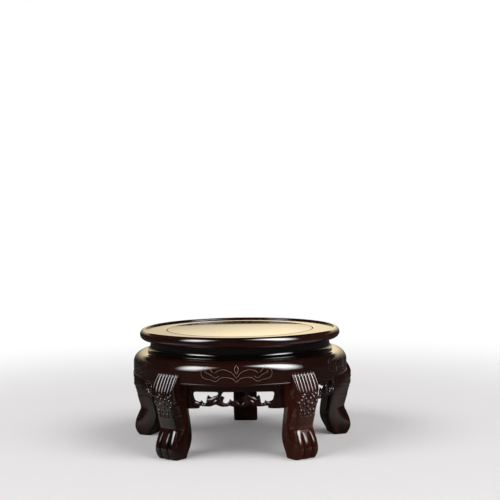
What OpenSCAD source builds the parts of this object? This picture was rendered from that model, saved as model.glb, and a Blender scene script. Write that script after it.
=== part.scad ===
// Round hardwood display stand: a framed top with a floating panel, a straight waist, a bulging apron,
// five curved paw-footed legs and a pierced spandrel in each bay between them.
// Millimetres. The origin is on the floor under the centre of the top, and +Z is up.

/* [Overall] */
// Height from the floor to the top of the raised lip
stand_h = 142; // [136:1:150]
// Diameter over the bullnosed rim of the top
top_d = 250; // [246:1:256]

/* [Top] */
// Thickness of the rim, lip included
top_t = 12.5; // [10:0.5:13]
// Height of the raised lip above the flat top
lip_h = 2; // [1:0.5:3]
// Width of the lip, from the outer edge to its inner wall
lip_w = 7; // [6:0.5:10]
// Width of the frame round the panel
frame_w = 33; // [30:1:36]
// Thickness of the floating panel
panel_t = 5; // [4.5:0.5:6]
// Open line between the panel and the frame
panel_gap = 0.9; // [0.6:0.1:1.5]

/* [Waist] */
// Height of the waist, from the apron to the frame
waist_h = 14.5; // [14:0.5:20]
// How far the waist stands in from the rim
waist_inset = 12.7; // [12:0.1:14]
// Thickness of the waist strips
waist_t = 6.3; // [5.5:0.1:7]
// Height of the fillet at the foot of the waist
fillet_h = 2; // [1:0.5:3]
// How far that fillet stands out from the waist
fillet_out = 2.9; // [1.8:0.1:4]
// Radius of the hollow that leads from the waist out to the fillet
cove_r = 5; // [3:0.5:6]

/* [Apron] */
// Height of the apron
apron_h = 27.5; // [26:0.5:30]
// How far the apron's face stands out beyond the rim of the top
apron_out = 8.2; // [7:0.1:9]
// Radius of the apron's rounded shoulder
shoulder_r = 13.5; // [11:0.5:14]
// Height of the fillet along the apron's lower edge
edge_h = 2.2; // [1.6:0.2:3]
// How far that fillet stands out from the apron's face
edge_out = 0.4; // [0.2:0.1:0.8]

/* [Legs] */
// Width of a leg, measured along the apron
leg_w = 32; // [30:1:34]
// How far the knee bulges out beyond the apron's face
knee_out = 11.2; // [9:0.2:13]
// How far the paw's toes stand out beyond the apron's face
paw_out = 9.8; // [8:0.2:11]
// Width of the shin's front, as a share of the leg's width
shin_taper = 0.82; // [0.74:0.02:0.92]
// Depth of the flutes at the head of the leg
flute_depth = 1.2; // [0.6:0.1:1.6]
// Depth of the grooves between the toes
toe_depth = 2.6; // [1.5:0.1:3]

/* [Spandrels] */
// Thickness of the pierced boards
spandrel_t = 4; // [3.6:0.1:4.4]
// Depth of a spandrel below the apron, at its middle
spandrel_h = 26; // [25:0.5:27]
// Extra depth of its two stepped ends
end_drop = 3.5; // [2:0.5:5]

/* [Hidden] */
$fn = 96;
// Clearance on the sides of tongues, tenons and notches
fit = 0.1;
// Small overshoot of a cutting shape
cut = 1;

leg_names = ["right", "back", "left", "front_left", "front_right"];
bay_names = ["back_right", "back_left", "left", "front", "right"];
bays = len(leg_names);
bay_angle = 360 / bays;
first_leg = 18;
function leg_turn(i) = first_leg + bay_angle * i;
function bay_turn(i) = leg_turn(i) + bay_angle / 2;

// Heights, from the top down
frame_z = stand_h - top_t;
top_z = stand_h - lip_h;
waist_z = frame_z - waist_h;
apron_z = waist_z - apron_h;

// Radii
top_r = top_d / 2;
nose_r = top_t / 2;
frame_in_r = top_r - frame_w;
waist_r = top_r - waist_inset;
ring_in_r = waist_r - waist_t;
apron_r = top_r + apron_out;

// The panel's tongue in the frame's groove
panel_z = top_z - panel_t;
panel_r = frame_in_r - panel_gap;
tongue_t = 3;
tongue_l = 5.5;
// Room for the panel to swell in the frame's groove
groove_slack = 0.5;

// The brace under the panel
brace_w = 18;
brace_h = 6;
brace_sink = 1.5;
brace_flare = 1.5;
brace_tenon_l = 6;
brace_tenon_h = 2.6;
brace_tenon_z = panel_z - brace_tenon_h - 0.5;

// The tongues along the top and the foot of the waist
rib_t = 3;
rib_h = 2;
rib_in_r = waist_r - waist_t / 2 - rib_t / 2;
// Depth of the fillet's top edge, and what the hollow leaves of its height
fillet_w = fillet_out - fillet_h / 2;
cove_lip = 0.2;

// The loose splines across the frame's and the apron's joints
spline_t = 3;
spline_l = 16;
frame_spline_r = frame_in_r + 8;
frame_spline_w = 14;
frame_spline_z = frame_z + 3;
apron_spline_r = ring_in_r + 7;
apron_spline_w = 10;
apron_spline_z = waist_z - 5.5;

// The notch in the apron that a leg's head fills, and the tenon above it
notch_h = 10.5;
leg_h = apron_z + notch_h;
tenon_w = 16;
tenon_t = 10;
tenon_h = 9.5;
tenon_r = apron_r - 18;

// Leg outlines: share of the leg's height, then distance from the apron's face
leg_front = [[0, 1.5], [0.03, 5.2], [0.082, 8.5], [0.14, paw_out], [0.21, 8.2], [0.27, 5.9], [0.33, 3.4],
             [0.36, 2.8], [0.39, 2.9], [0.43, 3.8], [0.55, 7.1], [0.725, knee_out], [0.87, 8.8], [1, 1]];
leg_back = [[0, -13.9], [0.05, -15.9], [0.12, -19.9], [0.2, -23], [0.29, -23.5], [0.43, -21.6],
            [0.6, -18.8], [0.68, -20.8], [0.78, -22.6], [0.89, -23.8], [1, -24.6]];
// Leg front: share of the leg's height, then its width as a share of the back's
leg_taper = [[0, 0.84], [0.05, 0.95], [0.15, 0.96], [0.255, 0.91], [0.36, shin_taper], [0.48, shin_taper],
             [0.72, 0.93], [0.87, 0.97], [1, 0.98]];
leg_steps = 46;
step_power = 1.4;
leg_mid_r = apron_r - 8;
sole_round = 1.6;
back_round = 3;
back_chamfer = back_round * (1 - cos(45));
// A point in each side, as a share of the way from the back to the front and of the taper between them
side_share = 0.5;
side_bow = 0.2;
// How much of the front's edges is rounded, how quickly that sets in, and how much of it the flutes keep
front_round = 1.6;
front_power = 6;
fluted_round = 0.2;
// Points across the front, the steps from its middle to a groove between toes, and the middle toe's share
front_points = 15;
mid_point = (front_points - 1) / 2;
groove_step = 2;
outer_half = (mid_point - groove_step) / 2;
middle_toe = 0.36;

// Where the flutes fade out and where the toes begin and are fully parted, as shares of the leg's height
flute_end = 0.79;
flute_fade = 0.05;
toe_start = 0.335;
toe_full = 0.15;

// The spandrel's place and its joints
spandrel_out_r = apron_r - 14.1;
spandrel_in_r = spandrel_out_r - spandrel_t;
spandrel_low = apron_z - spandrel_h;
spandrel_lip = 0.8;
spandrel_tongue_h = 3;
spandrel_tenon_l = 3;
spandrel_tenon_h = 16;
spandrel_root = 2;
tongue_in_r = spandrel_in_r + spandrel_lip;
tongue_out_r = spandrel_out_r - spandrel_lip;

// The openings of half a spandrel, measured across from its middle and up from the openings' foot.
// The leaves that stand in an opening have rounds: [across, up, radius].
// They also have points: [across, up, left foot, right foot]
rail_h = 8;
band_h = 4.2;
side_opening = [18.4, 45.8];
side_leaves = [[23.6, -4, 10.8], [18.4, 4.8, 3.8], [40.2, -1.5, 3.2], [45.6, -1, 3.8]];
side_points = [[29.4, 9.2, 22, 31.8], [37.8, 3.6, 35.4, 41]];
opening_corner = 3;
middle_opening = 14;
middle_leaves = [[14.6, 5.4, 4.3], [0, -0.6, 3.4]];
middle_points = [[3.8, 5.6, 1, 5.8]];
// The shallow scallops along the lower edge, and where its stepped ends begin
scallops = 5;
scallop_pitch = 15;
scallop_r = 13;
scallop_rise = 1;
step_start = 40;
spandrel_tenon_z = spandrel_low + band_h;
// The board is turned by about 8 degrees to the leg's side, so the mortise is a little wider than the tenon
mortise_in_r = tongue_in_r - 1.2;
mortise_out_r = tongue_out_r + 0.6;

wood = "#3a1d18";
dark_wood = "#1d1110";
inner_wood = "#5a3226";

function mix(a, b, u) = a + (b - a) * u;
function ramp(x, x0, x1) = min(1, max(0, (x - x0) / (x1 - x0)));

// A smooth curve through hand-chosen points [x, y], with each point's slope set by its neighbours
function slope_at(keys, i) =
    let (a = keys[max(0, i - 1)], b = keys[min(len(keys) - 1, i + 1)])
    (b[1] - a[1]) / (b[0] - a[0]);
function span_of(keys, x) = max([for (i = [0 : len(keys) - 2]) if (i == 0 || x >= keys[i][0]) i]);
function curve_at(keys, x) =
    let (
        i = span_of(keys, x),
        h = keys[i + 1][0] - keys[i][0],
        u = (x - keys[i][0]) / h,
        rise = keys[i + 1][1] - keys[i][1],
        s0 = slope_at(keys, i) * h,
        s1 = slope_at(keys, i + 1) * h
    )
    keys[i][1] + u * (s0 + u * ((3 * rise - 2 * s0 - s1) + u * (s0 + s1 - 2 * rise)));

// A ring, or a sector of one centred on +X
module ring(r0, r1, z0, z1, angle = 360) {
    rotate([0, 0, -angle / 2])
        rotate_extrude(angle = angle)
            translate([r0, z0])
                square([r1 - r0, z1 - z0]);
}

// A box that reaches out along +X, centred on that line
module radial_box(r0, r1, width, z0, z1) {
    translate([r0, -width / 2, z0])
        cube([r1 - r0, width, z1 - z0]);
}

// The same thing at both ends of a sector, where its neighbours meet it
module at_both_ends() {
    for (side = [-1, 1])
        rotate([0, 0, side * bay_angle / 2])
            children();
}

module at_leg(i) {
    rotate([0, 0, leg_turn(i)])
        children();
}

module at_bay(i) {
    rotate([0, 0, bay_turn(i)])
        children();
}

// The frame's section: a bullnosed rail with a raised lip, and grooves for the panel and the waist
module frame_section() {
    difference() {
        union() {
            translate([frame_in_r, frame_z])
                square([frame_w - nose_r, top_t - lip_h]);
            translate([top_r - nose_r, frame_z + nose_r])
                circle(r = nose_r);
        }
        translate([frame_in_r, top_z])
            square([frame_w - lip_w, lip_h + cut]);
        translate([frame_in_r - cut, panel_z])
            square([tongue_l + groove_slack + cut, tongue_t + fit]);
        translate([rib_in_r - fit, frame_z - cut])
            square([rib_t + 2 * fit, rib_h + fit + cut]);
    }
}

module frame_spline(clearance) {
    radial_box(
        frame_spline_r - clearance,
        frame_spline_r + frame_spline_w + clearance,
        spline_l + 2 * clearance,
        frame_spline_z,
        frame_spline_z + spline_t + clearance
    );
}

// The brace's tenon, at both of its ends
module brace_tenon(clearance) {
    length = 2 * (frame_in_r + brace_tenon_l + clearance);
    translate([-length / 2, -brace_w / 2 - clearance, brace_tenon_z])
        cube([length, brace_w + 2 * clearance, brace_tenon_h + clearance]);
}

module top_frame(i) {
    color(wood)
        difference() {
            at_leg(i)
                difference() {
                    rotate([0, 0, -bay_angle / 2])
                        rotate_extrude(angle = bay_angle)
                            frame_section();
                    at_both_ends()
                        frame_spline(fit);
                }
            brace_tenon(fit);
        }
}

module frame_splines() {
    color(inner_wood)
        for (i = [0 : bays - 1])
            at_bay(i)
                frame_spline(0);
}

module top_panel() {
    color(wood)
        difference() {
            union() {
                ring(0, panel_r, panel_z, top_z);
                ring(0, frame_in_r + tongue_l, panel_z, panel_z + tongue_t);
            }
            brace_dovetail(fit);
        }
}

// The dovetail along the brace's top edge, wider at its top
module brace_dovetail(clearance) {
    low = brace_w / 2 + clearance;
    high = low + brace_flare;
    length = 2 * panel_r;
    z0 = panel_z;
    z1 = panel_z + brace_sink + clearance;
    translate([-length / 2, 0, 0])
        rotate([90, 0, 90])
            linear_extrude(length)
                polygon([[-low, z0], [low, z0], [high, z1], [-high, z1]]);
}

module panel_brace() {
    length = 2 * (sqrt(pow(frame_in_r, 2) - pow(brace_w / 2, 2)) - fit);
    color(inner_wood)
        union() {
            brace_dovetail(0);
            translate([-length / 2, -brace_w / 2, panel_z - brace_h])
                cube([length, brace_w, brace_h]);
            brace_tenon(0);
        }
}

// The waist's section: a straight strip, hollowed out to a small fillet, with a tongue along each edge
module waist_section() {
    translate([ring_in_r, waist_z])
        square([waist_t, waist_h]);
    translate([ring_in_r, waist_z])
        square([waist_t + fillet_w, fillet_h]);
    translate([waist_r + fillet_w, waist_z + fillet_h / 2])
        circle(r = fillet_h / 2);
    translate([waist_r, waist_z + fillet_h])
        difference() {
            square([fillet_w, cove_r + cove_lip]);
            translate([cove_r, cove_r + cove_lip])
                circle(r = cove_r);
        }
    translate([rib_in_r, waist_z - rib_h])
        square([rib_t, waist_h + 2 * rib_h]);
}

module waist(i) {
    color(dark_wood)
        at_bay(i)
            rotate([0, 0, -bay_angle / 2])
                rotate_extrude(angle = bay_angle)
                    waist_section();
}

// The apron's section: a thick board with a rounded shoulder and a fillet along its lower edge
module apron_section() {
    translate([ring_in_r, apron_z])
        square([apron_r - shoulder_r - ring_in_r, apron_h]);
    translate([ring_in_r, apron_z])
        square([apron_r - ring_in_r, apron_h - shoulder_r]);
    translate([apron_r - shoulder_r, waist_z - shoulder_r])
        circle(r = shoulder_r);
    translate([ring_in_r, apron_z])
        square([apron_r + edge_out - ring_in_r, edge_h]);
}

module apron_spline(clearance) {
    radial_box(
        apron_spline_r - clearance,
        apron_spline_r + apron_spline_w + clearance,
        spline_l + 2 * clearance,
        apron_spline_z,
        apron_spline_z + spline_t + clearance
    );
}

module leg_tenon(clearance) {
    radial_box(
        tenon_r - clearance,
        tenon_r + tenon_t + clearance,
        tenon_w + 2 * clearance,
        leg_h - cut,
        leg_h + tenon_h + clearance
    );
}

module apron(i) {
    color(wood)
        at_bay(i)
            difference() {
                rotate([0, 0, -bay_angle / 2])
                    rotate_extrude(angle = bay_angle)
                        apron_section();
                at_both_ends() {
                    radial_box(ring_in_r - cut, apron_r + 2 * cut, leg_w + 2 * fit, apron_z - cut, leg_h);
                    leg_tenon(fit);
                    apron_spline(fit);
                }
                ring(rib_in_r - fit, rib_in_r + rib_t + fit, waist_z - rib_h - fit, waist_z + cut);
                ring(tongue_in_r - fit, tongue_out_r + fit, apron_z - cut, apron_z + spandrel_tongue_h + fit);
            }
}

module apron_splines() {
    color(inner_wood)
        for (i = [0 : bays - 1])
            at_leg(i)
                apron_spline(0);
}

// Across the leg's front the points make eight reeds and the flutes between them, and three toes at the paw
function flute_u(k) = k / mid_point - 1;
function toe_of(k) = k < mid_point - groove_step ? -1 : k <= mid_point + groove_step ? 0 : 1;
// From -1 to 1 across one toe
function toe_v(k) =
    let (from_middle = k - mid_point, side = toe_of(k))
    side == 0 ? from_middle / groove_step : (from_middle - side * (groove_step + outer_half)) / outer_half;
// From -1 to 1 across the whole paw
function toe_u(k) =
    let (side = toe_of(k))
    side == 0 ? middle_toe * toe_v(k) : mix(side, middle_toe * side, (1 - side * toe_v(k)) / 2);

function front_point(k, f, face_r, half_w) =
    let (
        toes = ramp(f, toe_start, toe_full),
        flutes = ramp(f, flute_end, flute_end + flute_fade),
        u = mix(flute_u(k), toe_u(k), toes),
        corner = front_round * mix(1, fluted_round, flutes) * pow(abs(u), front_power),
        flute = flute_depth * flutes * (k % 2),
        toe = toe_depth * toes * pow(abs(toe_v(k)), 2)
    )
    [face_r - corner - flute - toe, u * half_w];

// The section of a leg at a share f of its height: [distance from the axis, distance across]
function leg_section(f) =
    let (
        face_r = apron_r + curve_at(leg_front, f),
        back_r = apron_r + curve_at(leg_back, f),
        easing = sole_round * pow(1 - ramp(f * leg_h, 0, sole_round), 2),
        back_w = leg_w / 2 - easing,
        front_w = min(back_w, leg_w / 2 * curve_at(leg_taper, f)),
        side_r = mix(back_r, face_r, side_share),
        side_w = mix(back_w, front_w, side_bow),
        right = [
            [back_r, back_round - back_w],
            [back_r + back_chamfer, back_chamfer - back_w],
            [back_r + back_round, -back_w],
            [side_r, -side_w]
        ],
        left = [for (k = [len(right) - 1 : -1 : 0]) [right[k][0], -right[k][1]]]
    )
    concat(right, [for (k = [0 : front_points - 1]) front_point(k, f, face_r, front_w)], left);

// The curved body of a leg: sections stacked from the sole up, closer together near the sole
module leg_body() {
    shares = [for (k = [0 : leg_steps]) pow(k / leg_steps, step_power)];
    rings = [for (f = shares) [for (p = leg_section(f)) [p[0], p[1], f * leg_h]]];
    n = len(rings[0]);
    sole = (leg_steps + 1) * n;
    head = sole + 1;
    sides = [
        for (k = [0 : leg_steps - 1], j = [0 : n - 1])
            let (a = k * n + j, b = k * n + (j + 1) % n)
            each [[a, a + n, b + n], [a, b + n, b]]
    ];
    ends = [
        for (j = [0 : n - 1])
            let (next = (j + 1) % n)
            each [[sole, j, next], [head, leg_steps * n + next, leg_steps * n + j]]
    ];
    polyhedron(
        points = concat([for (r = rings) each r], [[leg_mid_r, 0, 0], [leg_mid_r, 0, leg_h]]),
        faces = concat(sides, ends)
    );
}

module leg(i) {
    mortise_l = spandrel_tenon_l + fit;
    z0 = spandrel_tenon_z - fit;
    z1 = spandrel_tenon_z + spandrel_tenon_h + fit;
    color(wood)
        at_leg(i)
            difference() {
                union() {
                    leg_body();
                    leg_tenon(0);
                }
                for (side = [-1, 1])
                    translate([0, side * leg_w / 2, 0])
                        radial_box(mortise_in_r, mortise_out_r, 2 * mortise_l, z0, z1);
            }
}

// Half of the spandrel's pierced pattern: a deep side opening over a leaf, and half of the middle one
module half_openings() {
    opening(side_opening[0], side_opening[1], side_leaves, side_points);
    opening(0, middle_opening, middle_leaves, middle_points);
}

// One opening, rounded at its outer upper corner, with the leaves that stand up in it
module opening(x0, x1, rounds, points) {
    low = spandrel_low + band_h;
    high = apron_z - rail_h;
    difference() {
        translate([x0, low])
            square([x1 - x0, high - low]);
        for (leaf = rounds)
            translate([leaf[0], low + leaf[1]])
                circle(r = leaf[2]);
        for (leaf = points)
            polygon([[leaf[2], low - cut], [leaf[3], low - cut], [leaf[0], low + leaf[1]]]);
        translate([x1 - opening_corner, high - opening_corner])
            difference() {
                square(opening_corner + cut);
                circle(r = opening_corner);
            }
    }
}

module spandrel_outline() {
    span = apron_r;
    difference() {
        translate([-span / 2, spandrel_low - end_drop])
            square([span, spandrel_h + end_drop]);
        translate([-step_start, spandrel_low - end_drop - cut])
            square([2 * step_start, end_drop + cut]);
        for (k = [0 : scallops - 1])
            translate([(k - (scallops - 1) / 2) * scallop_pitch, spandrel_low + scallop_rise - scallop_r])
                circle(r = scallop_r);
        half_openings();
        mirror([1, 0])
            half_openings();
    }
}

// Everything in a bay that lies beyond the sides of its two legs, let in by a depth
module leg_sides(depth, z0, z1) {
    at_both_ends()
        radial_box(ring_in_r, apron_r, leg_w - 2 * depth, z0, z1);
}

// The tongue along a spandrel's top edge
module spandrel_tongue() {
    difference() {
        ring(tongue_in_r, tongue_out_r, apron_z - cut, apron_z + spandrel_tongue_h, bay_angle);
        leg_sides(-fit, apron_z - 2 * cut, apron_z + spandrel_tongue_h + cut);
    }
}

// The stub tenons at a spandrel's ends
module spandrel_tenons() {
    z1 = spandrel_tenon_z + spandrel_tenon_h;
    intersection() {
        ring(tongue_in_r, tongue_out_r, spandrel_tenon_z, z1, bay_angle);
        difference() {
            leg_sides(-spandrel_root, spandrel_tenon_z - cut, z1 + cut);
            leg_sides(spandrel_tenon_l, spandrel_tenon_z - 2 * cut, z1 + 2 * cut);
        }
    }
}

module spandrel(i) {
    low = spandrel_low - end_drop;
    color(wood)
        at_bay(i)
            union() {
                difference() {
                    intersection() {
                        ring(spandrel_in_r, spandrel_out_r, low - cut, apron_z, bay_angle);
                        translate([ring_in_r / 2, 0, 0])
                            rotate([90, 0, 90])
                                linear_extrude(apron_r)
                                    spandrel_outline();
                    }
                    leg_sides(-fit, low - 2 * cut, apron_z + cut);
                }
                spandrel_tongue();
                spandrel_tenons();
            }
}

for (i = [0 : bays - 1]) {
    top_frame(i);
    waist(i);
    apron(i);
    leg(i);
    spandrel(i);
}
frame_splines();
top_panel();
panel_brace();
apron_splines();
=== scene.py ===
"""Round hardwood stand: carved and polished pieces built over the stand's solids, with its studio stage."""
import math

import bpy
import numpy as np
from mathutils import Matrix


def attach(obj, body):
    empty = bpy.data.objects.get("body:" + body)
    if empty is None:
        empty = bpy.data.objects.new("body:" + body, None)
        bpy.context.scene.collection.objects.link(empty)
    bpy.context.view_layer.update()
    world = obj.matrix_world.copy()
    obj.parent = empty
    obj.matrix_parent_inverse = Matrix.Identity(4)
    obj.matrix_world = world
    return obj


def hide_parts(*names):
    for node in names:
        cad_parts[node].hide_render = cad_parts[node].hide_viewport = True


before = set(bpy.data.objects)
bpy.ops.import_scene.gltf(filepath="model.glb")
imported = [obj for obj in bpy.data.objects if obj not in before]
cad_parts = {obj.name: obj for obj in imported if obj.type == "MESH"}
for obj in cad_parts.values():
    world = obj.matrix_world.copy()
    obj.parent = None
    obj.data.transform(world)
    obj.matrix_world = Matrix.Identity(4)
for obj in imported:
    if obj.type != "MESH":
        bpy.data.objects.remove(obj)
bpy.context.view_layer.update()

bl_info = {
    "name": "Round hardwood stand",
    "version": (1, 0, 0),
    "blender": (4, 5, 0),
    "location": "3D View > Sidebar > Stand",
    "description": "Carved and polished pieces of a round display stand, built over its solids",
    "category": "Add Mesh",
}

MM = 0.001
LEGS = ("right", "back", "left", "front_left", "front_right")
BAYS = ("back_right", "back_left", "left", "front", "right")
BAY = math.radians(72)
FIRST_LEG = math.radians(18)

# Main sizes in millimetres: the solids' own, or a hair inside them
TOP_Z = 140.0
LIP_TOP = 141.99
FRAME_Z = 129.5
FRAME_IN_R = 92.0
TOP_R = 125.0
NOSE_R = 6.245
LIP_IN_R = 118.0
PANEL_R = 91.1
PANEL_Z = 135.0
WAIST_Z = 115.0
WAIST_R = 112.3
RING_IN_R = 106.0
APRON_Z = 87.5
APRON_R = 133.2
SHOULDER_R = 13.5
LEG_H = 98.0
LEG_W = 32.0
BOARD_OUT_R = 119.1
BOARD_T = 4.0

# Faces that meet at a greater angle than this keep a crisp edge, in degrees
CRISP_ANGLE = 40
# How red a board is, from 0 to 1, where nothing else is said
REDNESS = 0.25


def leg_turn(i):
    return FIRST_LEG + BAY * i


def bay_turn(i):
    return leg_turn(i) + BAY / 2


def linear(hex_colour):
    """An sRGB hex colour as linear red, green and blue."""
    parts = [int(hex_colour[k:k + 2], 16) / 255 for k in (1, 3, 5)]
    return tuple(c / 12.92 if c <= 0.04045 else ((c + 0.055) / 1.055) ** 2.4 for c in parts)


def colour(name, description, hex_colour):
    return bpy.props.FloatVectorProperty(
        name=name, description=description, subtype="COLOR", size=3, min=0, max=1, default=linear(hex_colour))


def length(name, description, mm):
    return bpy.props.FloatProperty(
        name=name, description=description, default=mm * MM, min=0, subtype="DISTANCE", unit="LENGTH")


class StandSizes(bpy.types.PropertyGroup):
    """Sizes of the carving and of the fine edges"""
    hairline: length("Hairline", "How much the edges at a joint are eased", 0.012)
    arris: length("Arris", "Rounding of the fine edges of rails and panel", 0.5)
    reed_height: length("Reed depth", "Depth of the grooves beside the reeds on a knee", 1.07)
    carving_height: length("Carving height", "Height of the curls under the reeds above their ground", 0.95)
    toe_groove: length("Toe groove", "Depth of the channels between the toes", 3.0)
    line_width: length("Inlaid line width", "Width of the inlaid lines on the apron", 0.4)
    line_proud: length("Inlaid line height", "How far an inlaid line stands proud of the apron", 0.10)
    board_round: length("Board rounding", "Rounding of the pierced boards' edges", 1.1)
    grid: length("Board grid", "Spacing of the points that make a pierced board", 0.5)


class StandFinish(bpy.types.PropertyGroup):
    """Colours and polish"""
    wood_dark: colour("Dark wood", "Dark streaks of the polished wood", "#0b0504")
    wood_red: colour("Red wood", "Red-brown streaks of the polished wood", "#30140c")
    waist_dark: colour("Waist wood", "Wood of the recessed waist", "#060404")
    waist_red: colour("Waist streaks", "Lighter streaks of the waist", "#0d0706")
    inner_light: colour("Inner wood", "Unpolished wood under the top", "#6b4130")
    inner_dark: colour("Inner streaks", "Streaks of the unpolished wood", "#472a1f")
    line: colour("Inlaid line", "Pale lines let into the apron", "#745b48")
    floor: colour("Floor", "Pale floor under the stand", "#dedcdc")
    back_wall: colour("Back wall", "Warm wall behind the stand, seen in the polish", "#f6e3bd")
    # Also mixed into the floor as painted shade, where only the polish sees it
    dark_room_and_painted_shade: colour("Dark room", "The rest of the room, seen in the polish", "#272728")
    white: colour("White", "Background that the floor fades into", "#ffffff")
    polish: bpy.props.FloatProperty(
        name="Polish", description="Roughness of the lacquer", default=0.07, min=0, max=1, subtype="FACTOR")


# ---- mesh helpers


def hermite(keys, x):
    """A smooth curve through points (x, y), with each point's slope set by its neighbours."""
    kx, ky = (np.array(a, float) for a in zip(*keys))
    last = len(kx) - 1
    lo = np.maximum(np.arange(last + 1) - 1, 0)
    hi = np.minimum(np.arange(last + 1) + 1, last)
    slope = (ky[hi] - ky[lo]) / (kx[hi] - kx[lo])
    i = np.clip(np.searchsorted(kx, x, side="right") - 1, 0, last - 1)
    h = kx[i + 1] - kx[i]
    u = (x - kx[i]) / h
    rise = ky[i + 1] - ky[i]
    s0, s1 = slope[i] * h, slope[i + 1] * h
    return ky[i] + u * (s0 + u * ((3 * rise - 2 * s0 - s1) + u * (s0 + s1 - 2 * rise)))


def smooth_path(points, step, closed=False):
    """Points close together along a smooth curve through the given ones."""
    p = np.array(points, float)
    n = len(p)
    spans = n if closed else n - 1
    out = []
    for i in range(spans):
        a, b = p[i], p[(i + 1) % n]
        before = p[(i - 1) % n] if closed or i > 0 else a
        after = p[(i + 2) % n] if closed or i < n - 2 else b
        count = max(1, int(math.ceil(np.linalg.norm(b - a) / step)))
        u = (np.arange(count) / count)[:, None]
        s0, s1 = (b - before) / 2, (after - a) / 2
        out.append(a + u * (s0 + u * ((3 * (b - a) - 2 * s0 - s1) + u * (s0 + s1 - 2 * (b - a)))))
    if not closed:
        out.append(p[-1:])
    return np.concatenate(out)


def smooth_ramp(x, x0, x1):
    u = np.clip((x - x0) / (x1 - x0), 0, 1)
    return u * u * (3 - 2 * u)


def arc(cx, cy, r, a0, a1, steps):
    """Points of an arc, its angles in degrees."""
    a = np.radians(np.linspace(a0, a1, steps + 1))
    return np.stack([cx + r * np.cos(a), cy + r * np.sin(a)], 1)


def distance_to(points, path, closed=False):
    """Distance of each point from a path of straight steps."""
    a = path
    b = np.roll(path, -1, axis=0)
    if not closed:
        a, b = a[:-1], b[:-1]
    best = np.full(len(points), 1e9)
    for p, q in zip(a, b):
        d = q - p
        u = np.clip(((points - p) @ d) / max(d @ d, 1e-12), 0, 1)
        best = np.minimum(best, ((points - p - u[:, None] * d) ** 2).sum(1))
    return np.sqrt(best)


def inside(points, path):
    """Which points lie inside a closed path."""
    x, y = points.T
    odd = np.zeros(len(points), bool)
    for (x0, y0), (x1, y1) in zip(path, np.roll(path, -1, axis=0)):
        if y0 != y1:
            odd ^= ((y0 > y) != (y1 > y)) & (x < x0 + (y - y0) * (x1 - x0) / (y1 - y0))
    return odd


def around(r, a, z, across=0.0):
    """Points at a distance r from the axis and across from that line, which is turned by a, at height z."""
    x, y = r * np.cos(a) - across * np.sin(a), r * np.sin(a) + across * np.cos(a)
    return np.stack(np.broadcast_arrays(x, y, z), -1)


def make_piece(name, verts, faces, grain, material, slot, nodes=(), crisp=CRISP_ANGLE):
    """A finished piece from points in millimetres; grain is each point's place along and across the grain."""
    mesh = bpy.data.meshes.new(name)
    mesh.from_pydata((np.asarray(verts, float) * MM).tolist(), [], [list(map(int, f)) for f in faces])
    layer = mesh.attributes.new("grain", "FLOAT_VECTOR", "POINT")
    layer.data.foreach_set("vector", (np.asarray(grain, float) * MM).astype(np.float32).ravel())
    mesh.polygons.foreach_set("use_smooth", [True] * len(mesh.polygons))
    mesh.set_sharp_from_angle(angle=math.radians(crisp))
    mesh.materials.append(material)
    if mesh.validate():
        raise RuntimeError(f"{name} has faces that are not valid")
    piece = bpy.data.objects.new(name, mesh)
    bpy.context.scene.collection.objects.link(piece)
    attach(piece, "root")
    if nodes:
        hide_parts(*nodes)
    return piece


def shrink(profile, by):
    """A closed profile moved inwards along its corners' normals."""
    before, after = np.roll(profile, 1, axis=0), np.roll(profile, -1, axis=0)
    along = after - before
    along /= np.linalg.norm(along, axis=1)[:, None]
    return profile + by * np.stack([-along[:, 1], along[:, 0]], 1)


def ring_faces(rings, n):
    """Faces that join rings of n points each, with a cap at each end."""
    faces = [(k * n + j, k * n + (j + 1) % n, (k + 1) * n + (j + 1) % n, (k + 1) * n + j)
             for k in range(rings - 1) for j in range(n)]
    return faces + [tuple(reversed(range(n))), tuple(range((rings - 1) * n, rings * n))]


def turned_sector(profile, middle, steps, ease):
    """A closed profile of (r, z), anticlockwise, swept through a bay's angle, with eased ends."""
    edge = ease / profile[:, 0].mean()
    inner = np.linspace(-BAY / 2 + edge, BAY / 2 - edge, steps + 1)
    turns = np.concatenate([[-BAY / 2], inner, [BAY / 2]])
    eased = shrink(profile, ease)
    verts, grain = [], []
    for k, turn in enumerate(turns):
        section = eased if k in (0, len(turns) - 1) else profile
        a = middle + turn
        verts.append(around(section[:, 0], a, section[:, 1]))
        grain.append(np.column_stack([np.full(len(section), TOP_R * a), section]))
    return np.concatenate(verts), ring_faces(len(turns), len(profile)), np.concatenate(grain)


# ---- finishes


def add(tree, kind, inputs=(), **settings):
    """Adds a node, sets its properties, and sets or links its inputs, a node by its first output in use."""
    node = tree.nodes.new("ShaderNode" + kind)
    for key, value in settings.items():
        setattr(node, key, value)
    for key, value in dict(inputs).items():
        if isinstance(value, bpy.types.Node):
            value = next(out for out in value.outputs if out.enabled)
        if isinstance(value, bpy.types.NodeSocket):
            tree.links.new(value, node.inputs[key])
        else:
            node.inputs[key].default_value = value
    return node


def new_material(name):
    material = bpy.data.materials.get(name)
    if material:
        return material, None
    material = bpy.data.materials.new(name)
    material.use_nodes = True
    material.node_tree.nodes.clear()
    return material, material.node_tree


def streaks(tree, place, along_mm, across_mm, detail, roughness=0.5):
    """A pattern drawn out along the grain, from the size of one streak in millimetres."""
    scale = (1000 / along_mm, 1000 / across_mm, 1000 / across_mm)
    at = add(tree, "Mapping", {"Vector": place, "Scale": scale})
    return add(tree, "TexNoise", {"Vector": at, "Scale": 1.0, "Detail": detail, "Roughness": roughness})


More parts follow.
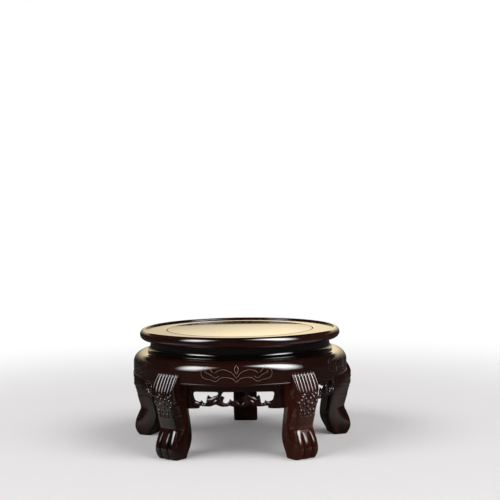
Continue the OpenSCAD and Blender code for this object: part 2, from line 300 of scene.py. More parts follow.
def polished_wood(name, dark, red, redness, roughness):
    """Dense dark wood, scraped, stained and lacquered to a high polish.

    The eye sees nearly black wood with red-brown streaks that run along each piece, under a clear hard coat whose
    sharp highlights carry most of the light.
    """
    material, tree = new_material(name)
    if tree is None:
        return material
    grain = add(tree, "Attribute", attribute_name="grain").outputs["Vector"]
    # Broad figure in bands, and fine streaks
    figure = streaks(tree, grain, 150, 9, 3.0)
    streak = streaks(tree, grain, 60, 1.2, 5.0, 0.6)
    # Pores: 0.1 mm wide in the wood, drawn 0.4 mm wide so that they show
    pore = streaks(tree, grain, 5, 0.4, 1.0)
    band = add(tree, "MapRange", {"Value": figure, "From Min": 0.35, "From Max": 0.7,
                                  "To Min": redness - 0.3, "To Max": redness + 0.3})
    tone = add(tree, "Mix", {"Factor": band, "A": (*dark, 1), "B": (*red, 1)}, data_type="RGBA")
    shade = add(tree, "MapRange", {"Value": streak, "From Min": 0.3, "From Max": 0.7,
                                   "To Min": 0.55, "To Max": 1.35})
    speck = add(tree, "MapRange", {"Value": pore, "From Min": 0.28, "From Max": 0.4,
                                   "To Min": 0.6, "To Max": 1.0})
    depth = add(tree, "Math", {0: shade, 1: speck}, operation="MULTIPLY")
    streaked = add(tree, "VectorMath", {0: tone, 1: depth}, operation="MULTIPLY")
    bump = add(tree, "Bump", {"Height": speck, "Strength": 0.03, "Distance": 0.0001})
    shader = add(tree, "BsdfPrincipled",
                 {"Base Color": streaked, "Roughness": 0.34, "IOR": 1.5, "Specular IOR Level": 0.0,
                  "Coat Weight": 1.0, "Coat Roughness": roughness, "Coat IOR": 1.55, "Normal": bump})
    add(tree, "OutputMaterial", {"Surface": shader})
    return material


def planed_wood(name, light, dark):
    """The same wood, planed and left without lacquer: dull, browner, with open grain."""
    material, tree = new_material(name)
    if tree is None:
        return material
    place = add(tree, "TexCoord").outputs["Object"]
    streak = streaks(tree, place, 70, 2, 5.0)
    tone = add(tree, "Mix", {"Factor": streak, "A": (*dark, 1), "B": (*light, 1)}, data_type="RGBA")
    bump = add(tree, "Bump", {"Height": streak, "Strength": 0.2, "Distance": 0.0002})
    shader = add(tree, "BsdfPrincipled", {"Base Color": tone, "Roughness": 0.6, "IOR": 1.5, "Normal": bump})
    add(tree, "OutputMaterial", {"Surface": shader})
    return material


def line_filling(name, pale):
    """Boxwood stringing, let in and scraped almost flush: a pale, satin line of uneven tone."""
    material, tree = new_material(name)
    if tree is None:
        return material
    place = add(tree, "TexCoord").outputs["Object"]
    mottle = streaks(tree, place, 3, 3, 2.0)
    dull = tuple(0.45 * c for c in pale)
    tone = add(tree, "Mix", {"Factor": mottle, "A": (*dull, 1), "B": (*pale, 1)}, data_type="RGBA")
    shader = add(tree, "BsdfPrincipled", {"Base Color": tone, "Roughness": 0.35, "IOR": 1.5})
    add(tree, "OutputMaterial", {"Surface": shader})
    return material


def rosewood(context, redness=REDNESS):
    """The stand's main wood; redness picks a darker or a redder board."""
    finish = context.scene.stand_finish
    return polished_wood(f"rosewood_lacquered_{int(round(redness * 100))}", finish.wood_dark, finish.wood_red,
                         redness, finish.polish)


# ---- rails, panel, waist and apron


def frame_profile(arris):
    # Grooves for the panel's and the waist's tongues, and the flat beside the lip and the panel
    tongue_in, tongue_z0, tongue_z1 = 98.0, PANEL_Z, 138.1
    rib0, rib1, rib_top = 107.55, 110.75, FRAME_Z + 2.1
    flat = 4.0
    nose = (TOP_R - NOSE_R, FRAME_Z + NOSE_R)
    return np.concatenate([
        [[FRAME_IN_R, FRAME_Z], [rib0, FRAME_Z], [rib0, rib_top], [rib1, rib_top], [rib1, FRAME_Z]],
        arc(*nose, NOSE_R, -90, 90, 28),
        arc(LIP_IN_R + arris, LIP_TOP - arris, arris, 90, 180, 5),
        arc(LIP_IN_R - arris, TOP_Z + arris, arris, 0, -90, 5),
        [[r, TOP_Z] for r in (LIP_IN_R - flat, (LIP_IN_R + FRAME_IN_R) / 2, FRAME_IN_R + flat)],
        arc(FRAME_IN_R + arris, TOP_Z - arris, arris, 90, 180, 5),
        [[FRAME_IN_R, tongue_z1], [tongue_in, tongue_z1], [tongue_in, tongue_z0], [FRAME_IN_R, tongue_z0]],
    ])


def waist_profile():
    cove_r, cove_lip = 5.0, 0.2
    fillet_out, fillet_r = 2.9, 1.0
    fillet_top = WAIST_Z + 2 * fillet_r
    straight_z = 126.0
    bead = (WAIST_R + fillet_out - fillet_r, WAIST_Z + fillet_r)
    cove = arc(WAIST_R + cove_r, fillet_top + cove_r + cove_lip, cove_r, 250, 180, 12)
    return np.concatenate([
        [[RING_IN_R, WAIST_Z], [bead[0], WAIST_Z]],
        arc(*bead, fillet_r, -80, 90, 10),
        [[cove[0][0], fillet_top]],
        cove,
        [[WAIST_R, straight_z], [WAIST_R, FRAME_Z], [RING_IN_R, FRAME_Z]],
    ])


def apron_profile():
    fillet_h, fillet_out, edge_r = 2.2, 0.3, 0.3
    # The narrow groove over the fillet: how deep it is, how high, and how its upper edge is rounded
    quirk_in, quirk_h, quirk_r = 0.4, 0.2, 0.3
    fillet_top = APRON_Z + fillet_h
    # Heights of more points on the plain face and on the back, and the edge of the flat top
    face_z, back_z = (92.0, 95.0, 98.0), (108.0, 98.0)
    flat_r = 112.0
    return np.concatenate([
        [[RING_IN_R, APRON_Z], [BOARD_OUT_R, APRON_Z]],
        arc(APRON_R + fillet_out - edge_r, APRON_Z + edge_r, edge_r, -90, 0, 4),
        arc(APRON_R + fillet_out - edge_r, fillet_top - edge_r, edge_r, 0, 80, 4),
        [[APRON_R - quirk_in, fillet_top + quirk_h / 2]],
        arc(APRON_R - quirk_r, fillet_top + quirk_h + quirk_r, quirk_r, -80, 0, 4),
        [[APRON_R, z] for z in face_z],
        arc(APRON_R - SHOULDER_R, WAIST_Z - SHOULDER_R, SHOULDER_R, 0, 90, 36),
        [[flat_r, WAIST_Z]] + [[RING_IN_R, z] for z in (WAIST_Z, *back_z)],
    ])


class STAND_OT_top_frame(bpy.types.Operator):
    """Five curved rails with a bullnosed rim and a raised lip"""
    bl_idname = "stand.top_frame"
    bl_label = "Top frame"

    def execute(self, context):
        sizes = context.scene.stand_sizes
        profile = frame_profile(sizes.arris / MM)
        for i, name in enumerate(LEGS):
            solid = turned_sector(profile, leg_turn(i), 48, sizes.hairline / MM)
            make_piece(f"rail_{name}", *solid, rosewood(context, 0.4), "polished_wood", [f"top_frame_{name}"])
        return {"FINISHED"}


class STAND_OT_top_panel(bpy.types.Operator):
    """Round panel that floats in the frame"""
    bl_idname = "stand.top_panel"
    bl_label = "Top panel"

    def execute(self, context):
        arris = context.scene.stand_sizes.arris / MM
        side = np.concatenate([
            [[PANEL_R, PANEL_Z]],
            arc(PANEL_R - arris, TOP_Z - arris, arris, 0, 90, 6),
        ])
        steps = 180
        turns = np.radians(np.arange(steps) * 360 / steps)
        verts = np.concatenate([around(r, turns, z) for r, z in side])
        faces = ring_faces(len(side), steps)
        make_piece("panel", verts, faces, verts, rosewood(context), "polished_wood", ["top_panel"])
        return {"FINISHED"}


class STAND_OT_waist(bpy.types.Operator):
    """Five dark curved strips on a small fillet"""
    bl_idname = "stand.waist"
    bl_label = "Waist"

    def execute(self, context):
        finish = context.scene.stand_finish
        ebony = polished_wood("ebony_lacquered", finish.waist_dark, finish.waist_red, 0.3, finish.polish)
        ease = context.scene.stand_sizes.hairline / MM
        for i, name in enumerate(BAYS):
            solid = turned_sector(waist_profile(), bay_turn(i), 48, ease)
            make_piece(f"strip_{name}", *solid, ebony, "dark_wood", [f"waist_{name}"])
        return {"FINISHED"}


def cut_notches(piece, i):
    """Cuts the two notches that the legs' heads fill out of an apron board."""
    clearance, below, beyond = 0.1, 5.0, 10.0
    half = LEG_W / 2 + clearance
    corners = []
    for side in (-1, 1):
        a = bay_turn(i) + side * BAY / 2
        for r in (RING_IN_R - beyond, APRON_R + beyond):
            for across in (-half, half):
                corners += [around(r, a, z, across) for z in (APRON_Z - below, LEG_H)]
    box = [(0, 1, 3, 2), (4, 6, 7, 5), (0, 4, 5, 1), (2, 3, 7, 6), (0, 2, 6, 4), (1, 5, 7, 3)]
    faces = [tuple(v + 8 * k for v in f) for k in (0, 1) for f in box]
    mesh = bpy.data.meshes.new("notch_cutter")
    mesh.from_pydata((np.array(corners) * MM).tolist(), [], faces)
    cutter = bpy.data.objects.new("notch_cutter", mesh)
    bpy.context.scene.collection.objects.link(cutter)
    cut = piece.modifiers.new("notch", "BOOLEAN")
    cut.operation, cut.object, cut.solver = "DIFFERENCE", cutter, "EXACT"
    bpy.context.view_layer.update()
    shape = bpy.data.meshes.new_from_object(piece.evaluated_get(bpy.context.evaluated_depsgraph_get()))
    piece.modifiers.clear()
    before, piece.data = piece.data, shape
    shape.name = piece.name
    shape.set_sharp_from_angle(angle=math.radians(CRISP_ANGLE))
    bpy.data.objects.remove(cutter)
    for spare in (before, mesh):
        bpy.data.meshes.remove(spare)


class STAND_OT_apron(bpy.types.Operator):
    """Five bulging apron boards, notched over the legs"""
    bl_idname = "stand.apron"
    bl_label = "Apron"

    def execute(self, context):
        ease = context.scene.stand_sizes.hairline / MM
        for i, name in enumerate(BAYS):
            solid = turned_sector(apron_profile(), bay_turn(i), 60, ease)
            redness = 0.36 if name == "front" else REDNESS
            piece = make_piece(f"apron_board_{name}", *solid, rosewood(context, redness), "polished_wood",
                               [f"apron_{name}"])
            cut_notches(piece, i)
        return {"FINISHED"}


# The inlaid lines of half an apron board: across from its middle, and up its face from its lower edge
BUD = [(0, 25.4), (1.5, 22.6), (2.2, 20.2), (1.6, 17.6), (0, 14.6)]
UPPER_LINE = [(0, 9.8), (2.5, 13.1), (4.85, 15.9), (8.2, 17.6), (12.2, 19.1), (16.2, 19.7), (20.2, 18.6),
              (23.2, 17.1), (24.6, 15.6)]
CLOUD_LINE = [(0, 5.5), (2.4, 7.6), (4.6, 9.3), (8.2, 10.4), (13.2, 10.9), (17.5, 10.2), (19.9, 8.8), (22.5, 6.7),
              (24.9, 6.1), (28.2, 7.0), (30.5, 8.1), (34.9, 8.5), (37.9, 9.5), (39.9, 11.3), (41.0, 13.8),
              (41.2, 16.3), (39.9, 19.4), (37.9, 21.9), (34.9, 23.3), (32.2, 22.4), (30.5, 19.9), (28.4, 17.4),
              (26.6, 16.0)]
INNER_CURL = [(20.6, 12.2), (22.5, 10.6), (24.9, 10.3), (27.5, 11.7), (29.5, 13.4), (31.5, 14.5), (34.9, 15.7),
              (36.5, 17.1), (36.2, 18.6)]
# How far off the middle of its board the lines were laid out by hand
LINE_SHIFT = {"front": 2.5, "left": -0.8, "right": 0.6}
# Section of a line: across it as a share of half its width, and out of the face as a share of its height
LINE_SECTION = [(-1, -0.4), (-0.95, 0.0), (-0.5, 0.8), (0, 1), (0.5, 0.8), (0.95, 0.0), (1, -0.4), (0, -2.5)]
# Painted shade: what is left of a line's brightness on every board but the front
LINE_PAINTED_SHADE = 0.12


def on_apron(turn, across, up):
    """A point on the apron's face and the way out of it there: across from the bay's middle, up from its foot."""
    straight = WAIST_Z - SHOULDER_R - APRON_Z
    phi = np.maximum(up - straight, 0) / SHOULDER_R
    r = APRON_R - SHOULDER_R + SHOULDER_R * np.cos(phi)
    z = APRON_Z + np.minimum(up, straight) + SHOULDER_R * np.sin(phi)
    a = turn + across / APRON_R
    return around(r, a, z), around(np.cos(phi), a, np.sin(phi))


class STAND_OT_apron_lines(bpy.types.Operator):
    """Pale lines let into each apron board: a bud between two cloud scrolls"""
    bl_idname = "stand.apron_lines"
    bl_label = "Inlaid lines"

    def execute(self, context):
        sizes, finish = context.scene.stand_sizes, context.scene.stand_finish
        section = np.array(LINE_SECTION) * (sizes.line_width / MM / 2, sizes.line_proud / MM)
        for i, name in enumerate(BAYS):
            # Only the front lines keep their full tone; the others are drawn almost as dark as the wood, as
            # painted shade
            state, left = ("full_tone", 1) if name == "front" else ("painted_shade", LINE_PAINTED_SHADE)
            stringing = line_filling(f"boxwood_stringing_{state}", tuple(left * c for c in finish.line))
            verts, faces = [], []
            for side in (-1, 1):
                for line in (BUD, UPPER_LINE, CLOUD_LINE, INNER_CURL):
                    path = smooth_path(line, 0.5)
                    across = LINE_SHIFT.get(name, 0) + side * path[:, 0]
                    point, out = on_apron(bay_turn(i), across, path[:, 1])
                    along = np.gradient(point, axis=0)
                    along /= np.linalg.norm(along, axis=1)[:, None]
                    sideways = np.cross(along, out)
                    ring = (point[:, None] + sideways[:, None] * section[None, :, :1]
                            + out[:, None] * section[None, :, 1:])
                    base = len(verts)
                    faces += [tuple(base + v for v in f) for f in ring_faces(len(path), len(section))]
                    verts += ring.reshape(-1, 3).tolist()
            make_piece(f"apron_lines_{name}", verts, faces, verts, stringing, "polished_wood", crisp=60)
        return {"FINISHED"}


# ---- legs

# Outlines of a leg: share of its height, then distance from the apron's face
LEG_FRONT = [(0, 4.0), (0.03, 6.6), (0.075, 9.0), (0.12, 9.75), (0.15, 9.5), (0.21, 8.1), (0.27, 5.7), (0.3, 4.4),
             (0.33, 3.0), (0.35, 2.25), (0.37, 2.1), (0.4, 2.65), (0.43, 3.7), (0.55, 7.1), (0.725, 11.14),
             (0.87, 8.8), (1, 1)]
LEG_BACK = [(0, -13.9), (0.05, -15.9), (0.12, -19.9), (0.2, -23), (0.29, -23.5), (0.43, -21.6), (0.6, -18.8),
            (0.68, -20.8), (0.78, -22.6), (0.89, -23.8), (1, -24.6)]
# Leg front: share of the leg's height, then its width as a share of the back's
LEG_TAPER = [(0, 0.92), (0.05, 0.95), (0.15, 0.96), (0.255, 0.91), (0.36, 0.82), (0.48, 0.82), (0.72, 0.93),
             (0.87, 0.97), (1, 0.98)]
LEG_EDGE_R = 0.9
# Each leg is cut from its own stretch of board, and some boards are redder or darker
LEG_REDNESS = {"front_right": 0.85, "front_left": 0.2}
# Eight reeds, from left to right: the height at which each ends
REED_ENDS = (72.5, 73.0, 77.0, 74.6, 77.4, 74.6, 77.6, 75.5)
# Pitch of the reeds as a share of the front's half width inside its rounded edges
REED_PITCH = 0.304
REED_HALF = 2.2
REED_SLOPE = math.radians(52)
REED_TOP = 99.8
# How slowly a reed closes at its upper end: 1 is round
REED_TAIL = 0.4
# Heights between which the curls' ground gives way to the reeds'
REED_FOOT = (70, 79)
# The reeded field is scooped out between the leg's edges: height, then depth in the middle
REED_SCOOP = [(72, 0), (78, 0.4), (82, 1.0), (86, 1.5), (90, 1.3), (94, 0.8), (98, 0.2), (101, 0)]
# Curls and beads under the reeds: across, height, radius. Each has a mirrored twin, and each curl an eye
CURLS = [(12.6, 66.0, 2.0), (7.4, 72.2, 2.0), (0.0, 65.6, 2.6), (8.6, 56.2, 2.2), (2.6, 51.8, 1.9),
         (9.4, 51.8, 1.7)]
BEADS = [(5.2, 75.0, 1.5), (11.2, 75.2, 1.5), (3.2, 70.2, 1.9), (9.6, 68.6, 2.0), (5.6, 63.4, 2.1),
         (0.0, 60.2, 2.0), (10.4, 60.6, 2.1), (4.6, 56.0, 1.9)]
# Heights between which they are carved, and half the width of a curl's ridge
CURL_FIELD = (47, 80)
CURL_HALF = 0.62
# How far a curl winds in, and its eye's size, as shares of its radius; how the eye and the beads rise over a curl
CURL_IN = 0.62
EYE_SIZE = 0.36
EYE_RISE = 1.15
BEAD_RISE = 1.12
# Dints of the punch that matted the ground between the curls: depth, and pitch across and up
DINT_DEPTH = 0.2
DINT_PITCH = (1.8, 1.7)
# The plain shin's upper edge: height in the middle, rise towards the sides, and how the carving fades in over it
SHIN_TOP, SHIN_RISE, SHIN_FADE = 48.2, 0.12, 2.5
# The channels between the toes: place as a share of the half width, top, and depth from the top down as a share
TOE_GROOVE_AT = 0.375
TOE_GROOVE_TOP = 31.5
TOE_GROOVE = [(0, 0), (0.1, 0.35), (0.25, 0.8), (0.42, 1), (0.8, 1), (1, 0.9)]
# How much of a toe's fall to its channel is round; the rest is steep
TOE_ROUND = 0.23
# Lower than any carving
NOTHING = -9.0


def curl_path(x, z, radius, side):
    """A spiral that winds in one turn and a quarter, opening downwards and outwards."""
    turns = np.linspace(0, 1.25 * 2 * math.pi, 26)
    r = radius * (1 - CURL_IN * turns / turns[-1])
    a = math.radians(-60) + turns
    return np.stack([side * (x + r * np.cos(a)), z + r * np.sin(a)], 1)


def dome(off, height):
    """Height of a rounded form, where off is the squared distance from its middle as a share of its size."""
    left = 1 - off
    return np.where(left > 0, height * np.sqrt(np.maximum(left, 0)), NOTHING)


def carve_knee(x, z, half_w, sizes):
    """Height of the reeds and curls on a knee, below 0 where the ground is cut back."""
    reed_h, curl_h = sizes.reed_height / MM, sizes.carving_height / MM
    reeded = smooth_ramp(z, *REED_FOOT)
    base = -(reed_h * reeded + curl_h * (1 - reeded))
    # The rows of dints waver a little
    row = np.sin(2 * math.pi * x / DINT_PITCH[0] + 1.3 * np.sin(z / 2.1))
    column = np.sin(2 * math.pi * z / DINT_PITCH[1] + 1.7 * np.sin(x / 2.6))
    ground = base - DINT_DEPTH * row * column * (1 - reeded)
    top = np.full(x.shape, NOTHING)
    pitch = REED_PITCH * (half_w - LEG_EDGE_R)
    middle = (len(REED_ENDS) - 1) / 2
    bend = REED_HALF / math.sin(REED_SLOPE)
    for k, end in enumerate(REED_ENDS):
        past = np.maximum(REED_TAIL * (z - REED_TOP) + REED_HALF, end + REED_HALF - z)
        off = np.hypot(x - pitch * (k - middle), np.maximum(past, 0))
        crown = np.sqrt(np.maximum(bend ** 2 - off ** 2, 0)) - bend
        top = np.maximum(top, np.where(off < REED_HALF, crown, NOTHING))
    near = (z > CURL_FIELD[0]) & (z < CURL_FIELD[1])
    spots = np.stack([x[near], z[near]], 1)
    raised = np.full(len(spots), NOTHING)
    for side in (-1, 1):
        for cx, cz, radius in CURLS:
            off = distance_to(spots, curl_path(cx, cz, radius, side)) / CURL_HALF
            raised = np.maximum(raised, dome(off ** 2, curl_h))
        eyes = [(cx, cz, EYE_SIZE * radius, EYE_RISE) for cx, cz, radius in CURLS]
        for cx, cz, radius, rise in eyes + [(*bead, BEAD_RISE) for bead in BEADS]:
            off = ((spots - (side * cx, cz)) ** 2).sum(1) / radius ** 2
            raised = np.maximum(raised, dome(off, rise * curl_h))
    top[near] = np.maximum(top[near], np.where(raised > NOTHING, base[near] + raised, NOTHING))
    carved = np.maximum(ground, top)
    shin = SHIN_TOP + SHIN_RISE * np.abs(x)
    scoop = hermite(REED_SCOOP, np.clip(z, REED_SCOOP[0][0], REED_SCOOP[-1][0]))
    scoop *= 1 - np.minimum(np.abs(x / half_w), 1) ** 4
    return carved * smooth_ramp(z, shin, shin + SHIN_FADE) - scoop


def carve_paw(x, z, half_w, sizes):
    """Depth of the channels between the toes, with pointed tops, and the roundness of the toes."""
    down = np.clip((TOE_GROOVE_TOP - z) / TOE_GROOVE_TOP, 0, 1)
    depth = sizes.toe_groove / MM * hermite(TOE_GROOVE, down)
    at = TOE_GROOVE_AT * half_w
    off = np.abs(x)
    outer = np.abs(off - (at + half_w) / 2) / ((half_w - at) / 2)
    place = np.minimum(np.where(off < at, off / at, outer), 1)
    return -depth * (TOE_ROUND * place ** 2 + (1 - TOE_ROUND) * place ** 8)


def leg_shape(sizes):
    """Points and faces of one leg, standing on +X: out, across and up."""
    step = 0.4
    # The head reaches a little way up into the apron
    head = LEG_H + 2.4
    z = np.linspace(0, head, int(round(head / step)) + 1)[:, None]
    share = np.minimum(z / LEG_H, 1)
    face = APRON_R + hermite(LEG_FRONT, share)
    back = APRON_R + hermite(LEG_BACK, share)
    sole_round, back_round = 1.0, 3.0
    back_w = LEG_W / 2 - sole_round * (1 - np.clip(z / sole_round, 0, 1)) ** 2
    front_w = np.minimum(back_w, LEG_W / 2 * hermite(LEG_TAPER, share))
    # Across the front: close points on its rounded edges, and between them points that meet the reeds' grooves
    edge = np.array([0, 0.05, 0.16, 0.33, 0.58])
    groove = 3 * REED_PITCH
    inner = np.concatenate([np.linspace(-1, -groove, 5)[:-1], np.linspace(-groove, groove, 79),
                            np.linspace(groove, 1, 5)[1:]])
    across = np.concatenate([edge - front_w, inner * (front_w - LEG_EDGE_R), front_w - edge[::-1]], axis=1)
    across, high, half_w = np.broadcast_arrays(across, z, front_w)
    in_edge = np.maximum(LEG_EDGE_R - (half_w - np.abs(across)), 0)
    sag = LEG_EDGE_R - np.sqrt(np.maximum(LEG_EDGE_R ** 2 - in_edge ** 2, 0))
    # The front falls away towards its edges, but beside the reeds it is nearly flat
    fall, flatter = 1.6, 0.8
    crown = fall * (1 - flatter * smooth_ramp(high, 77, 82)) * (across / half_w) ** 6
    carving = carve_knee(across, high, half_w, sizes) + carve_paw(across, high, half_w, sizes)
    front = np.stack([face - sag - crown + carving, across], 2)
    # Each side bows a little from the front's edge to the back's rounded one
    bow = 2.32
    s = np.linspace(0, 1, 15)[1:]
    start = front[:, -1:, 0]
    side_r = start + s * (back + back_round - start)
    side_w = front_w + (back_w - front_w) * (1 - (1 - s) ** bow)
    turn = np.radians(np.linspace(0, 90, 6)[1:])
    corner_r = back + back_round - back_round * np.sin(turn)
    corner_w = back_w - back_round * (1 - np.cos(turn))
    right = np.stack([np.concatenate([side_r, corner_r], 1), np.concatenate([side_w, corner_w], 1)], 2)
    middle = np.stack(np.broadcast_arrays(back, (back_w - back_round) * np.linspace(1, -1, 9)[1:-1]), 2)
    left = right[:, ::-1] * (1, -1)
    loops = np.concatenate([front, right, middle, left], axis=1)
    rows, n = loops.shape[:2]
    verts = np.concatenate([loops, np.broadcast_to(z[:, :, None], (rows, n, 1))], axis=2).reshape(-1, 3)
    return verts, ring_faces(rows, n)


class STAND_OT_legs(bpy.types.Operator):
    """Five curved legs with reeded, carved knees and paw feet"""
    bl_idname = "stand.legs"
    bl_label = "Legs"

    def execute(self, context):
        verts, faces = leg_shape(context.scene.stand_sizes)
        r, t, z = verts.T
        # How far apart the legs lay along and through the plank
        along, through = 211, 37
        for i, name in enumerate(LEGS):
            placed = around(r, leg_turn(i), z, t)
            grain = np.stack([z + along * i, r + through * i, t], 1)
            wood = rosewood(context, LEG_REDNESS.get(name, REDNESS))
            make_piece(f"paw_leg_{name}", placed, faces, grain, wood, "polished_wood", [f"leg_{name}"], crisp=50)
        return {"FINISHED"}


# ---- pierced boards

# Half of a pierced board: across from its middle, and height
BOARD_END = 56.3
LOWER_EDGE = [(0, 62.0), (2.4, 62.6), (4.6, 63.1), (7.4, 62.3), (12.0, 61.9), (15.2, 62.3), (18.0, 63.4),
              (20.6, 64.1), (23.0, 63.5), (26.8, 62.0), (31.0, 61.6), (35.6, 61.9), (38.6, 62.1), (40.0, 61.8),
              (40.4, 60.4), (41.2, 59.2), (45.0, 58.5), (50.0, 58.1), (BOARD_END, 57.9)]
SIDE_OPENING = [(47.7, 75.4), (47.3, 76.8), (46.0, 77.9), (42.2, 78.2), (34.2, 78.5), (26.3, 78.7), (20.4, 78.8),
                (18.5, 78.3), (17.8, 77.2), (18.6, 76.0), (20.4, 74.5), (23.3, 74.0), (25.2, 72.7), (26.5, 72.8),
                (28.0, 73.7), (29.8, 75.0), (30.8, 73.6), (31.5, 70.9), (31.7, 68.3), (32.4, 66.2), (33.7, 65.5),
                (35.6, 66.1), (37.0, 68.0), (38.0, 69.1), (38.7, 67.5), (40.8, 67.0), (44.2, 67.8), (45.6, 68.7),
                (46.4, 70.5), (47.2, 73.2)]
MIDDLE_OPENING = [(6.0, 79.0), (11.0, 78.9), (12.3, 78.0), (13.5, 76.4), (14.1, 75.0), (12.9, 73.9), (11.0, 73.5),
                  (10.4, 72.3), (11.6, 70.2), (12.3, 68.2), (11.1, 66.7), (9.1, 66.0), (7.1, 66.4), (5.4, 68.0),
                  (4.5, 69.9), (3.8, 71.2), (2.9, 70.3), (1.6, 69.0)]
# Ridges carved along the leaves
RIDGES = [
    [(31.0, 69.4), (28.0, 69.3), (25.0, 70.0), (21.4, 71.8), (17.6, 74.0), (16.3, 76.2), (15.8, 78.6)],
    [(16.3, 76.0), (15.2, 72.6), (13.8, 69.4), (12.9, 66.6), (11.6, 64.6)],
    [(49.6, 77.0), (49.4, 73.0), (48.2, 69.0), (46.4, 66.3), (42.6, 65.0), (38.8, 65.6), (37.9, 67.4)],
    [(36.0, 63.9), (33.4, 63.6), (31.2, 64.9), (30.2, 67.0)],
    [(9.4, 64.2), (6.8, 64.5), (4.6, 66.2), (3.8, 68.6)],
    [(22.6, 66.4), (20.2, 68.2), (17.4, 68.4), (15.6, 66.8)],
]
# Half a ridge's width, and its height
RIDGE_HALF, RIDGE_H = 1.4, 0.8
# The leaves' ground is cut back below the plain rail and the plain ends: depth, heights, and distances across
GROUND_DEPTH, GROUND_TOP, GROUND_END = 0.8, (79.6, 78.4), (51.5, 50.3)
# The openings are undercut behind, so that the board looks thin: as a share of the ground, and its reach
UNDERCUT, UNDERCUT_REACH = 1.75, 3.0
# How far off the middle of its bay a board's pattern was laid out by hand
BOARD_SHIFT = {"front": -2.3, "left": 0.9, "right": -0.6}


def board_shape(shift, sizes):
    """Points and faces of one pierced board laid flat: across, height and depth in from its face."""
    grid, rounding = sizes.grid / MM, sizes.board_round / MM
    end, step, mirror = BOARD_END, 0.4, (-1, 1)
    half = np.array(LOWER_EDGE, float)
    low = smooth_path(np.concatenate([(half * mirror)[:0:-1], half]), step)
    low[:, 0] = np.clip(low[:, 0] + shift, -end, end)
    outline = np.concatenate([low, [(end, low[-1, 1]), (end, APRON_Z), (-end, APRON_Z), (-end, low[0, 1])]])
    side = smooth_path(SIDE_OPENING, step, closed=True)
    half = np.array(MIDDLE_OPENING)
    middle = smooth_path(np.concatenate([half, (half * mirror)[::-1]]), step, closed=True)
    xs = np.arange(-end - grid, end + 1.5 * grid, grid)
    zs = np.arange(low[:, 1].min() - grid, APRON_Z + 1.5 * grid, grid)
    spots = np.stack(np.meshgrid(xs, zs, indexing="ij"), 2).reshape(-1, 2)
    solid = inside(spots, outline)
    edge = distance_to(spots, outline, closed=True)
    for hole in (side, side * mirror, middle):
        hole = hole + (shift, 0)
        solid &= ~inside(spots, hole)
        edge = np.minimum(edge, distance_to(spots, hole, closed=True))
    level = np.where(solid, edge, -edge)
    # Points next to the outline move onto it, so that no face is a sliver
    slope = np.stack(np.gradient(level.reshape(len(xs), len(zs)), grid), 2).reshape(-1, 2)
    slope /= np.maximum(np.linalg.norm(slope, axis=1), 1e-9)[:, None]
    close = np.abs(level) < 0.35 * grid
    spots = spots - np.where(close[:, None], slope * level[:, None], 0)
    flat, d, cells = march(spots, np.where(close, 0, level), len(xs), len(zs))
    # The edges are nearly a quarter round
    near = np.clip(rounding - d, 0, rounding)
    sag = rounding - np.sqrt(rounding ** 2 - near ** 2 * 0.96)
    ridge = np.zeros(len(flat))
    for half in RIDGES:
        for way in (-1, 1):
            off = distance_to(flat, smooth_path(np.array(half) * (way, 1) + (shift, 0), 0.5))
            ridge = np.maximum(ridge, RIDGE_H * np.maximum(1 - (off / RIDGE_HALF) ** 2, 0))
    ground = GROUND_DEPTH * smooth_ramp(flat[:, 1], *GROUND_TOP)
    ground *= smooth_ramp(np.abs(flat[:, 0] - shift), *GROUND_END)
    face = sag + ground - ridge * (ground > 0)
    back = BOARD_T - 0.5 * sag - UNDERCUT * ground * np.clip(1 - d / UNDERCUT_REACH, 0, 1)
    n = len(flat)
    verts = np.concatenate([np.column_stack([flat, face]), np.column_stack([flat, back])])
    sides = dict.fromkeys(pair for cell in cells for pair in zip(cell, cell[1:] + cell[:1]))
    faces = cells + [tuple(v + n for v in reversed(cell)) for cell in cells]
    faces += [(b, a, a + n, b + n) for a, b in sides if (b, a) not in sides]
    return verts, faces


def march(spots, level, nx, nz):
    """Fills the grid where level is positive, cutting the cells that the outline crosses.

    Returns the points, each one's distance from the outline, and the cells.
    """
    points, from_edge, made = [], [], {}

    def corner(k):
        if k not in made:
            made[k] = len(points)
            points.append(spots[k])
            from_edge.append(level[k])
        return made[k]

    def crossing(k, m):
        key = (min(k, m), max(k, m))
        if key not in made:
            u = level[k] / (level[k] - level[m])
            made[key] = len(points)
            points.append(spots[k] + u * (spots[m] - spots[k]))
            from_edge.append(0.0)
        return made[key]

    cells = []
    for i in range(nx - 1):
        for j in range(nz - 1):
            ring = (i * nz + j, (i + 1) * nz + j, (i + 1) * nz + j + 1, i * nz + j + 1)
            if max(level[k] for k in ring) <= 0:
                continue
            cell = []
            for k, m in zip(ring, ring[1:] + ring[:1]):
                if level[k] >= 0:
                    cell.append(corner(k))
                if level[k] * level[m] < 0:
                    cell.append(crossing(k, m))
            if len(cell) >= 3:
                cells.append(tuple(cell))
    return np.array(points), np.maximum(np.array(from_edge), 0), cells


class STAND_OT_spandrels(bpy.types.Operator):
    """Five pierced and carved boards under the apron, between the legs"""
    bl_idname = "stand.spandrels"
    bl_label = "Spandrels"

    def execute(self, context):
        sizes = context.scene.stand_sizes
        # How far apart the boards lay along the plank
        along = 173
        for i, name in enumerate(BAYS):
            verts, faces = board_shape(BOARD_SHIFT.get(name, 0), sizes)
            across, z, depth = verts.T
            a = bay_turn(i) + np.arcsin(np.clip(across / BOARD_OUT_R, -1, 1))
            placed = around(BOARD_OUT_R - depth, a, z)
            grain = np.stack([across + along * i, z, depth], 1)
            make_piece(f"pierced_board_{name}", placed, faces, grain, rosewood(context, 0.2), "polished_wood",
                       [f"spandrel_{name}"], crisp=60)
        return {"FINISHED"}


